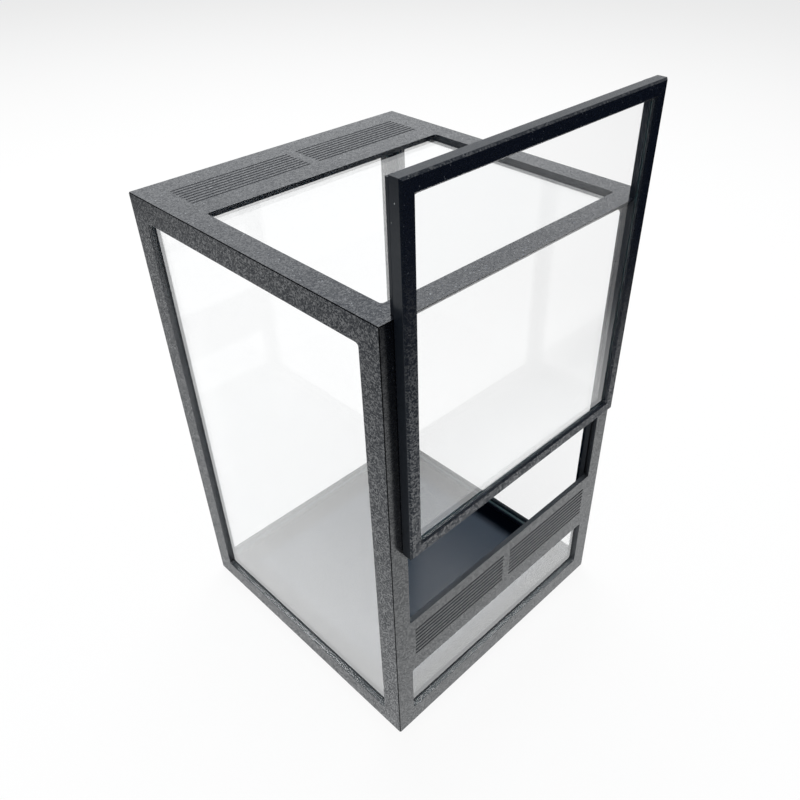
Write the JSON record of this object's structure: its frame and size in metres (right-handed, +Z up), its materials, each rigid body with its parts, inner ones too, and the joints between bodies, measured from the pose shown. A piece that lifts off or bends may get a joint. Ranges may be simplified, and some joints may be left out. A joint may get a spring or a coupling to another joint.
{
  "type": "reptile terrarium",
  "caption": "Upright box of mitred black frames with clear panes, slotted air grilles in roof and front, and a framed clear door that slides straight up for access",
  "frame": {"origin": "centre of the underside of the box, on the surface that it stands on; the door projects in front of the box and isn't counted in the centre", "axes": "+Z up, -Y towards the door, +X to the right of someone who faces the door"},
  "size_m": [0.097, 0.1024, 0.18],
  "materials": {
    "black_print": "black printed plastic with a fine pebbled gloss from the build plate",
    "clear_acrylic": "clear acrylic sheet, polished faces, faint blue-green edges"
  },
  "bodies": {
    "enclosure": {"floor_panel": "black_print", "left_frame": "black_print", "right_frame": "black_print", "back_frame": "black_print", "front_frame": "black_print", "roof_frame": "black_print", "left_pane": "clear_acrylic", "right_pane": "clear_acrylic", "back_pane": "clear_acrylic", "front_pane": "clear_acrylic", "roof_pane": "clear_acrylic"},
    "door": {"door_frame": "black_print", "door_pane": "clear_acrylic"}
  },
  "joints": [
    {"name": "door_slide", "type": "slide", "parent": "enclosure", "child": "door", "axis": [0, 0, 1], "range_m": [-0.03, 0.05]}
  ]
}
